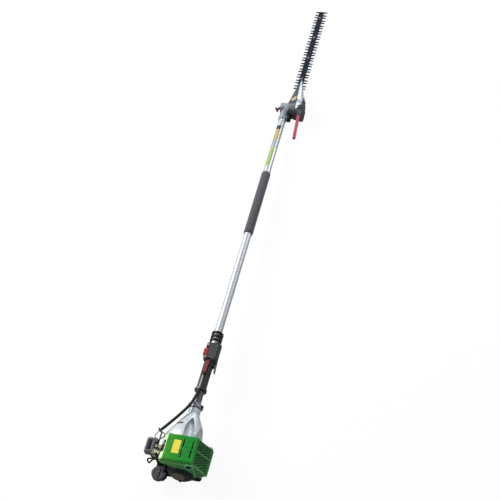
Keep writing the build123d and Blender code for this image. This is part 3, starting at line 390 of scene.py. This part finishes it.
nodeFinish = {
    "drawnAluminium": ("main_tube",),
    "silverCasting": ("fan_housing",),
    "knuckleCasting": ("knuckle", "tube_clamp"),
    "gearCasting": ("gear_case",),
    "bareCasting": ("crankcase", "flywheel", "piston"),
    "yellowZinc": ("carburettor",),
    "darkPaint": ("gear_case_cover", "clutch_shoes", "cable_bracket", "cylinder"),
    "groundSteel": ("drive_shaft", "ball_bearings", "clutch_drum", "crankshaft", "connecting_rod",
                    "cross_gear", "crank_gear", "blade_plate", "control_handle"),
    "exhaustSteel": ("muffler",),
    "blackedSteel": ("upper_blade", "lower_blade", "blade_bar"),
    "brightZinc": ("blade_bolts",),
    "oxideScrew": ("case_screws", "clamp_bolts", "gear_case_screws", "throttle_arm"),
    "blackNylon": ("hanger_clamp", "insulator_block", "fuel_tank", "starter_housing", "starter_pulley",
                   "choke_lever", "starter_grip", "shaft_bushes"),
    "handleNylon": ("handle_shell_upper", "handle_shell_lower"),
    "greyNylon": ("filter_cover", "throttle_trigger"),
    "capNylon": ("fuel_cap",),
    "greenCover": ("engine_cover",),
    "greenGuard": ("muffler_guard",),
    "redNylon": ("stop_switch",),
    "deepRedNylon": ("throttle_lock", "lock_knob"),
    "redVinyl": ("control_grip",),
    "closedFoam": ("foam_grip",),
    "blackRubber": ("damper_ring", "plug_boot", "throttle_conduit", "fuel_lines"),
    "creamPhenolic": ("filter_base",),
    "filterFoam": ("filter_element",),
    "plugGlaze": ("spark_plug",),
    "primerSilicone": ("primer_bulb",),
    "braidedNylon": ("starter_rope",),
}
for finish, members in nodeFinish.items():
    for member in members:
        for materialSlot in nodes[member].material_slots:
            materialSlot.material = made[finish]
print("finishes on", sum(len(m) for m in nodeFinish.values()), "nodes")


# closes a mesh drawn in tube millimetres, sets it in the floor frame and gives it to a body
def setPiece(name, bm, body, finish, creaseAngle=35):
    bmesh.ops.remove_doubles(bm, verts=bm.verts, dist=1e-5)
    bmesh.ops.recalc_face_normals(bm, faces=bm.faces)
    bmesh.ops.transform(bm, matrix=tubeToFloor, verts=bm.verts)
    for face in bm.faces:
        face.smooth = True
    for edge in bm.edges:
        if len(edge.link_faces) == 2 and edge.calc_face_angle(0) > math.radians(creaseAngle):
            edge.smooth = False
    mesh = bpy.data.meshes.new(name)
    bm.to_mesh(mesh)
    bm.free()
    piece = bpy.data.objects.new(name, mesh)
    scene.collection.objects.link(piece)
    piece.data.materials.append(made[finish])
    if body:
        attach(piece, body)
    return piece


# spins a half section about a line; a section that starts on the line closes at its pole
def spunShape(points, centre, axis, steps, closed=True):
    bm = bmesh.new()
    knots = [bm.verts.new(p) for p in points]
    edges = [bm.edges.new(pair) for pair in zip(knots, knots[1:])]
    if closed:
        edges.append(bm.edges.new((knots[-1], knots[0])))
    bmesh.ops.spin(bm, geom=knots + edges, cent=centre, axis=axis, angle=2 * math.pi, steps=steps,
                   use_merge=True)
    return bm


# a round hose along one smooth spline
curveSet = {"ring": 5, "along": 16, "order": 3}


def routeHose(route, radius):
    curve = bpy.data.curves.new("route", "CURVE")
    curve.dimensions = "3D"
    curve.bevel_depth = radius
    curve.bevel_resolution = curveSet["ring"]
    curve.resolution_u = curveSet["along"]
    curve.use_fill_caps = True
    spline = curve.splines.new("NURBS")
    spline.points.add(len(route) - 1)
    for knot, spot in zip(spline.points, route):
        knot.co = (*spot, 1.0)
    spline.order_u = curveSet["order"]
    spline.use_endpoint_u = True
    holder = bpy.data.objects.new("route", curve)
    scene.collection.objects.link(holder)
    bpy.context.view_layer.update()
    mesh = bpy.data.meshes.new_from_object(holder.evaluated_get(bpy.context.evaluated_depsgraph_get()))
    bm = bmesh.new()
    bm.from_mesh(mesh)
    bpy.data.objects.remove(holder)
    bpy.data.meshes.remove(mesh)
    return bm


# a block between two corners with all its edges rounded
def roundedBlock(s):
    bm = bmesh.new()
    bmesh.ops.create_cube(bm, size=1.0)
    bmesh.ops.scale(bm, vec=[s[a][1] - s[a][0] for a in "xyz"], verts=bm.verts)
    bmesh.ops.translate(bm, vec=[(s[a][1] + s[a][0]) / 2 for a in "xyz"], verts=bm.verts)
    bmesh.ops.bevel(bm, geom=bm.edges[:], offset=s["rounding"], segments=s["steps"], profile=0.5,
                    affect="EDGES", material=-1)
    return bm


# foam grip: a sleeve that swells a little between its rounded ends
foamSet = {"rear": 955.0, "length": 306.0, "bore": 14.03, "outer": 17.9, "swell": 0.25, "steps": 72,
           "rounding": 3.0, "rings": 24, "waves": 9}
x0, x1 = foamSet["rear"], foamSet["rear"] + foamSet["length"]
r, q = foamSet["outer"], foamSet["rounding"]
half = [(x0, foamSet["bore"]), (x0, r - q), (x0 + 0.3 * q, r - 0.3 * q), (x0 + q, r - 0.1)]
for i in range(1, foamSet["rings"]):
    share = i / foamSet["rings"]
    wave = 0.5 + 0.5 * math.cos(foamSet["waves"] * share * math.pi)
    half.append((x0 + q + (x1 - x0 - 2 * q) * share, r - foamSet["swell"] * wave))
half += [(x1 - q, r - 0.1), (x1 - 0.3 * q, r - 0.3 * q), (x1, r - q), (x1, foamSet["bore"])]
bm = spunShape([(x, 0, h) for x, h in half], (0, 0, 0), (1, 0, 0), foamSet["steps"])
foam = setPiece("foamSleeve", bm, "frame", "closedFoam")
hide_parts("foam_grip")

# throttle cable cover, one spline from the handle's foot to its bracket
conduitSet = {"radius": 5.0, "route": [(259, 2, 19.5), (238, 2, 19.5), (165, 15, 38), (62, 75, 60)]}
bm = routeHose(conduitSet["route"], conduitSet["radius"])
conduit = setPiece("cableCover", bm, "frame", "blackRubber", 60)
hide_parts("throttle_conduit")

# the tank's shoulder, a rounded block moulded up beside the engine
shoulderSet = {"x": (-4.0, 17.0), "y": (48.0, 92.0), "z": (-64.0, -30.0), "rounding": 5.0, "steps": 5}
setPiece("tankShoulder", roundedBlock(shoulderSet), "frame", "blackNylon", 30)

# fuel hoses: the feed swings out past the filter, the return drops to the tank's shoulder
hoseSet = {"radius": 2.8, "feed": [(-24, 64, 40), (-24, 64, 22), (-24, 107, 18), (-24, 107, -28),
                                   (6, 107, -46), (6, 91.5, -46)],
           "back": [(4, 64, 40), (4, 64, 28), (-12, 92, 30), (-16, 94, 14), (-6, 82, -6), (6, 80, -31)]}
feed = setPiece("feedHose", routeHose(hoseSet["feed"], hoseSet["radius"]), "frame", "blackRubber",
                60)
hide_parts("fuel_lines")
setPiece("returnHose", routeHose(hoseSet["back"], hoseSet["radius"]), "frame", "redHose", 60)

# starter rope: the grip draws it out of the cowl
ropeSet = {"radius": 1.5, "x": -51.0, "z": 16.0, "length": 27.4, "rings": 40, "sides": 16}
bm = bmesh.new()
for i in range(ropeSet["rings"] + 1):
    lift = Matrix.Translation((ropeSet["x"], ropeSet["length"] * i / ropeSet["rings"], ropeSet["z"]))
    bmesh.ops.create_circle(bm, segments=ropeSet["sides"], radius=ropeSet["radius"],
                            cap_ends=i in (0, ropeSet["rings"]),
                            matrix=lift @ Matrix.Rotation(math.pi / 2, 4, "X"))
bm.edges.ensure_lookup_table()
heights = [ropeSet["length"] * i / ropeSet["rings"] for i in range(ropeSet["rings"] + 1)]
loops = [[e for e in bm.edges if all(abs(v.co.y - h) < 1e-4 for v in e.verts)] for h in heights]
for low, high in zip(loops, loops[1:]):
    bmesh.ops.bridge_loops(bm, edges=low + high)
rope = setPiece("pullRope", bm, None, "braidedNylon", 60)
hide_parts("starter_rope")
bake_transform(rope)

# throttle wire in its black liner from the bracket to the carburettor arm
wireSet = {"radius": 1.3, "route": [(63.7, 74, 59.6), (50, 82, 64), (32, 84, 75), (14, 74, 79),
                                    (-10, 73, 76)]}
wire = setPiece("throttleWire", routeHose(wireSet["route"], wireSet["radius"]), None, "blackRubber",
                60)
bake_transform(wire)

# the stop lead leaves the same cover and loops past the engine cover to its boot on the carburettor
leadSet = {"radius": 1.7, "route": [(63, 74.6, 60), (53, 74, 70), (44, 50, 77), (32, 50, 78), (20, 66, 75),
                                    (11, 68, 75)]}
setPiece("stopLead", routeHose(leadSet["route"], leadSet["radius"]), "frame", "blackRubber", 60)
bootSet = {"place": (4.0, 68.0, 74.2), "steps": 32,
           "profile": ((0, 0), (0, 5.0), (1.5, 6.2), (6, 6.2), (8, 5.2), (10, 5.8), (12, 4.6), (16, 3.0),
                       (16, 0))}
bm = spunShape([(x, 0, r) for x, r in bootSet["profile"]], (0, 0, 0), (1, 0, 0), bootSet["steps"],
               closed=False)
bmesh.ops.translate(bm, vec=bootSet["place"], verts=bm.verts)
setPiece("leadBoot", bm, "frame", "blackRubber", 50)
print("sleeve, hoses, rope and wire made")


# the vertices among the parts that an extrusion made
def vertsOf(drawn):
    return [v for v in drawn if isinstance(v, bmesh.types.BMVert)]


# a film laid round part of the tube: an arc drawn out along X and given its thickness
def tubeFilm(name, rear, front, finish):
    bm = bmesh.new()
    low, high, r = math.radians(filmSet["right"]), math.radians(filmSet["left"]), filmSet["radius"]
    start = bm.verts.new((rear, r * math.sin(low), r * math.cos(low)))
    bmesh.ops.spin(bm, geom=[start], cent=(0, 0, 0), axis=(-1, 0, 0), angle=high - low,
                   steps=filmSet["steps"])
    drawn = bmesh.ops.extrude_edge_only(bm, edges=bm.edges[:])["geom"]
    bmesh.ops.translate(bm, vec=(front - rear, 0, 0), verts=vertsOf(drawn))
    bmesh.ops.solidify(bm, geom=bm.faces[:], thickness=filmSet["thick"])
    return setPiece(name, bm, "frame", finish, 40)


filmSet = {"radius": 14.06, "thick": 0.18, "right": -27.0, "left": 75.0, "steps": 18,
           "runs": {"blackBand": (1490, 1511, "blackFilm"), "yellowBand": (1431, 1489.5, "paleYellowFilm"),
                    "paleBand": (1395.5, 1430.5, "paleFilm"), "limeBand": (1292, 1395, "limeFilm")}}
for name, (rear, front, finish) in filmSet["runs"].items():
    tubeFilm(name, rear, front, finish)


# a plain patch: a flat grid rounded at its corners, moved onto its seat and given its thickness
def flatPatch(name, size, thick, seat, body, finish, corner=2.0):
    bm = bmesh.new()
    bmesh.ops.create_grid(bm, x_segments=1, y_segments=1, size=0.5)
    bmesh.ops.scale(bm, vec=(size[0], size[1], 1), verts=bm.verts)
    bmesh.ops.bevel(bm, geom=bm.verts[:], offset=corner, segments=4, profile=0.5, affect="VERTICES",
                    material=-1)
    drawn = bmesh.ops.extrude_face_region(bm, geom=bm.faces[:])["geom"]
    bmesh.ops.translate(bm, vec=(0, 0, thick), verts=vertsOf(drawn))
    bmesh.ops.transform(bm, matrix=seat, verts=bm.verts)
    return setPiece(name, bm, body, finish, 40)


coverPatchSet = {"size": (48.0, 24.0), "centre": (-6.0, -5.5, 100.0), "thick": 0.35}
flatPatch("coverPatch", coverPatchSet["size"], coverPatchSet["thick"],
          Matrix.Translation(coverPatchSet["centre"]), "frame", "yellowFilm")

# the gear case patch lies on the nose's left flank, a surface ruled between four corners
flankSet = {"corners": ((1643, -3, 4), (1643, -45, 36), (1786, -23, -8), (1786, -29, 0)),
            "along": (0.02, 0.2), "up": (0.2, 0.86), "thick": 0.4, "gap": 0.05, "grid": 8}


def flankPoint(u, v):
    a, b, c, d = (Vector(p) for p in flankSet["corners"])
    return a.lerp(b, v).lerp(c.lerp(d, v), u)


bm = bmesh.new()
bmesh.ops.create_grid(bm, x_segments=flankSet["grid"], y_segments=flankSet["grid"], size=0.5)
flankUp = flankPoint(0.1, 1) - flankPoint(0.1, 0)
flankBack = flankPoint(0, 0.5) - flankPoint(0.3, 0.5)
flankOut = flankUp.cross(flankBack).normalized()
if flankOut.y < 0:
    flankOut = -flankOut
for v in bm.verts:
    u = flankSet["along"][0] + (flankSet["along"][1] - flankSet["along"][0]) * (v.co.x + 0.5)
    h = flankSet["up"][0] + (flankSet["up"][1] - flankSet["up"][0]) * (v.co.y + 0.5)
    v.co = flankPoint(u, h) + flankOut * flankSet["gap"]
drawn = bmesh.ops.extrude_face_region(bm, geom=bm.faces[:])["geom"]
bmesh.ops.translate(bm, vec=flankOut * flankSet["thick"], verts=vertsOf(drawn))
setPiece("gearCasePatch", bm, "head", "paleYellowFilm", 40)

# small bare badge bent to the housing's cone
coneBadgeSet = {"x": (103.0, 112.0), "angle": (11.0, 40.0), "thick": 0.6, "slope": 48.0 / 92.0,
                "top": (166.0, 21.5), "gap": 0.05, "grid": (4, 14)}
bm = bmesh.new()
bmesh.ops.create_grid(bm, x_segments=coneBadgeSet["grid"][0], y_segments=coneBadgeSet["grid"][1], size=0.5)
for v in bm.verts:
    x = coneBadgeSet["x"][0] + (coneBadgeSet["x"][1] - coneBadgeSet["x"][0]) * (v.co.x + 0.5)
    low, high = coneBadgeSet["angle"]
    a = math.radians(low + (high - low) * (v.co.y + 0.5))
    r = coneBadgeSet["top"][1] + coneBadgeSet["slope"] * (coneBadgeSet["top"][0] - x) + coneBadgeSet["gap"]
    v.co = (x, r * math.sin(a), r * math.cos(a))
bmesh.ops.recalc_face_normals(bm, faces=bm.faces)
bmesh.ops.solidify(bm, geom=bm.faces[:], thickness=coneBadgeSet["thick"])
setPiece("housingBadge", bm, "frame", "bronzeBadge", 40)

# round badge on the starter cowl: a dark plate with two raised gold rings and a gold boss
cowlBadgeSet = {"centre": (-66.0, -13.0, 6.0), "radius": 22.0, "rings": ((0.84, 1.0), (0.5, 0.64)),
                "boss": 0.26, "rise": 1.5, "steps": 56}
s, r = cowlBadgeSet, cowlBadgeSet["radius"]
bm = spunShape([(0, 0, 0), (-0.9, 0, 0), (-0.9, 0, 0.98 * r), (0, 0, 0.98 * r)], (0, 0, 0), (1, 0, 0),
               s["steps"], closed=False)
bmesh.ops.translate(bm, vec=s["centre"], verts=bm.verts)
setPiece("cowlBadge", bm, "frame", "blackFilm", 40)
for i, (low, high) in enumerate(s["rings"] + ((0.0, s["boss"]),)):
    half = [(-0.5, low * r), (-s["rise"], low * r + 0.4), (-s["rise"], high * r - 0.5), (-0.5, high * r)]
    if not low:
        half = [(-0.5, 0), (-s["rise"], 0), (-s["rise"], high * r - 0.5), (-0.5, high * r)]
    bm = spunShape([(x, 0, h) for x, h in half], (0, 0, 0), (1, 0, 0), s["steps"], closed=bool(low))
    bmesh.ops.translate(bm, vec=s["centre"], verts=bm.verts)
    setPiece("cowlRing%d" % i, bm, "frame", "goldBadge", 40)


# a flanged hexagon bolt standing on its seat along +Z
def flangedBolt(name, seat, body, finish, s):
    bm = bmesh.new()
    bmesh.ops.create_cone(bm, segments=28, radius1=s["flange"], radius2=s["flange"] * 0.92, depth=s["rim"],
                          cap_ends=True, matrix=Matrix.Translation((0, 0, s["rim"] / 2)))
    middle = Matrix.Translation((0, 0, s["rim"] + s["height"] / 2))
    hexagon = bmesh.ops.create_cone(bm, segments=6, radius1=s["head"], radius2=s["head"], depth=s["height"],
                                    cap_ends=True, matrix=middle)["verts"]
    above = s["rim"] + s["height"] * 0.6
    top = [e for e in bm.edges if all(v in hexagon and v.co.z > above for v in e.verts)]
    bmesh.ops.bevel(bm, geom=top, offset=0.6, segments=2, profile=0.5, affect="EDGES", material=-1)
    bmesh.ops.transform(bm, matrix=seat, verts=bm.verts)
    return setPiece(name, bm, body, finish, 30)


boltSet = {"flange": 6.4, "head": 4.6, "height": 4.2, "rim": 1.6, "spot": (1595.0, -55.0, 39.2),
           "pivot": (1615.0, -55.0, 0.0)}
out = (Vector(boltSet["spot"]) - Vector(boltSet["pivot"]) + Vector((0, 9.8, 0))).normalized()
seat = Matrix.Translation(boltSet["spot"]) @ out.to_track_quat("Z", "Y").to_matrix().to_4x4()
flangedBolt("drumBolt", seat, "head", "brightZinc", boltSet)

# black cap over the knuckle's clamp lug: a rounded hood with a sunk top
lugCapSet = {"x": (1551.0, 1574.4), "y": (-31.2, -17.2), "z": (-10.2, 11.6), "rounding": 2.4, "steps": 4,
             "lip": 2.2, "sunk": 1.2}
bm = roundedBlock(lugCapSet)
top = max(bm.faces, key=lambda f: f.calc_center_median().z)
bmesh.ops.inset_individual(bm, faces=[top], thickness=lugCapSet["lip"], depth=0)
bmesh.ops.translate(bm, vec=(0, 0, -lugCapSet["sunk"]), verts=top.verts)
setPiece("lugCap", bm, "frame", "blackNylon", 30)

# green rim round the exhaust opening in the cover's rear wall, pale green as a painted highlight
rimSet = {"centre": (-57.0, -57.0, 74.0), "inner": 10.4, "outer": 15.2, "rise": 3.0, "steps": 40,
          "wide": 1.12}
ring = [(0.4, rimSet["inner"]), (-rimSet["rise"], rimSet["inner"] + 0.6),
        (-rimSet["rise"] - 0.4, rimSet["inner"] + 1.8), (-rimSet["rise"] * 0.6, rimSet["outer"] - 1.0),
        (0.4, rimSet["outer"])]
bm = spunShape([(x, 0, r) for x, r in ring], (0, 0, 0), (1, 0, 0), rimSet["steps"])
bmesh.ops.scale(bm, vec=(1, rimSet["wide"], 1), verts=bm.verts)
bmesh.ops.translate(bm, vec=rimSet["centre"], verts=bm.verts)
setPiece("exhaustRim", bm, "frame", "paleHighlightBead", 40)

# dark louvred panel sunk in the filter cover: a plate with low slats across it
louvreSet = {"x": (-18.4, 18.4), "y": (86.6, 100.4), "z": (70.85, 71.5), "slats": 8, "slatRise": 0.9}
bm = bmesh.new()
spans = [(louvreSet["x"], louvreSet["y"], louvreSet["z"])]
pitch = (louvreSet["x"][1] - louvreSet["x"][0]) / louvreSet["slats"]
for i in range(louvreSet["slats"]):
    x = louvreSet["x"][0] + pitch * i + pitch * 0.25
    spans.append(((x, x + pitch * 0.5), (louvreSet["y"][0] + 1.2, louvreSet["y"][1] - 1.2),
                  (louvreSet["z"][1] - 0.2, louvreSet["z"][1] + louvreSet["slatRise"])))
for span in spans:
    corners = bmesh.ops.create_cube(bm, size=1.0)["verts"]
    bmesh.ops.scale(bm, vec=[b - a for a, b in span], verts=corners)
    bmesh.ops.translate(bm, vec=[(a + b) / 2 for a, b in span], verts=corners)
bmesh.ops.bevel(bm, geom=bm.edges[:], offset=0.25, segments=2, profile=0.5, affect="EDGES", material=-1)
setPiece("filterLouvre", bm, "frame", "blackNylon", 30)

# the guard's gauze, a plate just inside its sloping face
gauzeSet = {"x": (-53.5, 28.5), "line": ((-71.1, 96.5), (-108.5, 36.6)), "ends": (0.05, 0.97),
            "depth": (0.15, 0.6)}
a, b = (Vector((0, y, z)) for y, z in gauzeSet["line"])
slope = (b - a).normalized()
inward = Vector((0, -slope.z, slope.y))
bm = bmesh.new()
for x in gauzeSet["x"]:
    for end in gauzeSet["ends"]:
        for depth in gauzeSet["depth"]:
            bm.verts.new(a.lerp(b, end) + inward * depth + Vector((x, 0, 0)))
bmesh.ops.convex_hull(bm, input=bm.verts[:])
setPiece("guardGauze", bm, "frame", "sootedGauze", 30)

# rounded bead along the guard's rear edge and along its rib, pale green as painted highlight lines
beadSet = {"guardRim": ([(-57.2, -71, 94.5), (-57.2, -105.5, 40), (-57.2, -106, 26), (-57.2, -86, 9)], 2.2),
           "guardRib": ([(-10, -75.4, 98.4), (-10, -112.2, 40.2)], 1.2)}
# lip and fold beads on the cover's rear wall, pale green as painted highlight lines
lipSet = {"coverLip": ([(-57.3, 41, 84), (-57.3, 20, 82), (-57.3, -20, 80), (-57.3, -42, 82)], 1.3),
          "coverFold": ([(-57.3, -71, 66), (-57.3, -70, 40), (-57.3, -69, 20), (-57.3, -66, 4)], 1.6)}
for slotName, beads in (("green_guard", beadSet), ("green_plastic", lipSet)):
    for name, (route, radius) in beads.items():
        setPiece(name, routeHose(route, radius), "frame", "paleHighlightBead", 60)
print("films, badges, bolt, caps, gauze and rims made")

print("scene ready")
